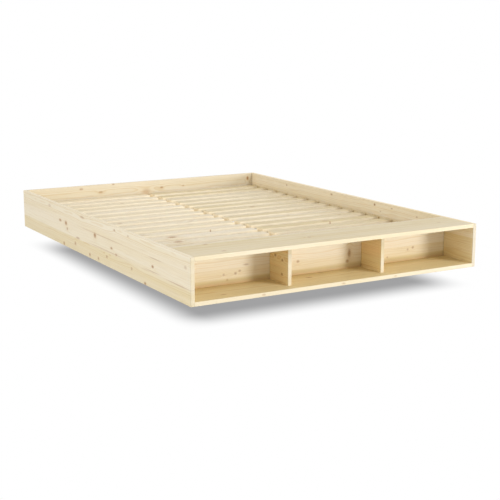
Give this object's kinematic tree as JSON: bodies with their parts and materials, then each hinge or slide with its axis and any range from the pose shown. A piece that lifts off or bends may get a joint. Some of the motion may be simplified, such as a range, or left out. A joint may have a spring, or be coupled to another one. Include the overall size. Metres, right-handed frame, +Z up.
{
  "type": "double bed",
  "caption": "Low pine double bed frame on recessed legs, with an open compartmented shelf across the foot and loose slat sets on side rails and a centre beam.",
  "frame": {"origin": "on the floor, under the middle of the bed's outline", "axes": "+Z up, +Y from the shelf at the foot to the head, +X to the right-hand side seen from the foot"},
  "size_m": [1.64, 2.27, 0.325],
  "materials": {
    "pine_board": "clear matt lacquer",
    "pine_slat": "planed, untreated",
    "pine_timber": "planed, untreated",
    "beech_dowel": "fluted, untreated",
    "zinc_steel": "zinc plated",
    "felt": "pressed felt",
    "webbing": "woven tape"
  },
  "bodies": {
    "bed_frame": {"left_side_board": "pine_board", "right_side_board": "pine_board", "head_board": "pine_board", "shelf_top_board": "pine_board", "shelf_bottom_board": "pine_board", "shelf_back_board": "pine_board", "left_shelf_divider": "pine_board", "right_shelf_divider": "pine_board", "left_slat_rail": "pine_timber", "right_slat_rail": "pine_timber", "centre_beam": "pine_timber", "foot_cross_bearer": "pine_timber", "middle_cross_bearer": "pine_timber", "head_cross_bearer": "pine_timber", "foot_left_leg": "pine_timber", "foot_right_leg": "pine_timber", "middle_left_leg": "pine_timber", "middle_right_leg": "pine_timber", "head_left_leg": "pine_timber", "head_right_leg": "pine_timber", "felt_pads": "felt", "angle_brackets": "zinc_steel", "bracket_screws": "zinc_steel", "rail_screws": "zinc_steel", "leg_bolts": "zinc_steel", "panel_dowels": "beech_dowel"},
    "left_slat_set": {"left_slat_01": "pine_slat", "left_slat_02": "pine_slat", "left_slat_03": "pine_slat", "left_slat_04": "pine_slat", "left_slat_05": "pine_slat", "left_slat_06": "pine_slat", "left_slat_07": "pine_slat", "left_slat_08": "pine_slat", "left_slat_09": "pine_slat", "left_slat_10": "pine_slat", "left_slat_11": "pine_slat", "left_slat_12": "pine_slat", "left_slat_13": "pine_slat", "left_slat_14": "pine_slat", "left_slat_15": "pine_slat", "left_slat_16": "pine_slat", "left_slat_straps": "webbing"},
    "right_slat_set": {"right_slat_01": "pine_slat", "right_slat_02": "pine_slat", "right_slat_03": "pine_slat", "right_slat_04": "pine_slat", "right_slat_05": "pine_slat", "right_slat_06": "pine_slat", "right_slat_07": "pine_slat", "right_slat_08": "pine_slat", "right_slat_09": "pine_slat", "right_slat_10": "pine_slat", "right_slat_11": "pine_slat", "right_slat_12": "pine_slat", "right_slat_13": "pine_slat", "right_slat_14": "pine_slat", "right_slat_15": "pine_slat", "right_slat_16": "pine_slat", "right_slat_straps": "webbing"}
  },
  "joints": [
    {"name": "left_slat_set_lift", "type": "slide", "parent": "bed_frame", "child": "left_slat_set", "axis": [0, 0, 1], "range_m": [0, 0.15]},
    {"name": "right_slat_set_lift", "type": "slide", "parent": "bed_frame", "child": "right_slat_set", "axis": [0, 0, 1], "range_m": [0, 0.15]}
  ]
}
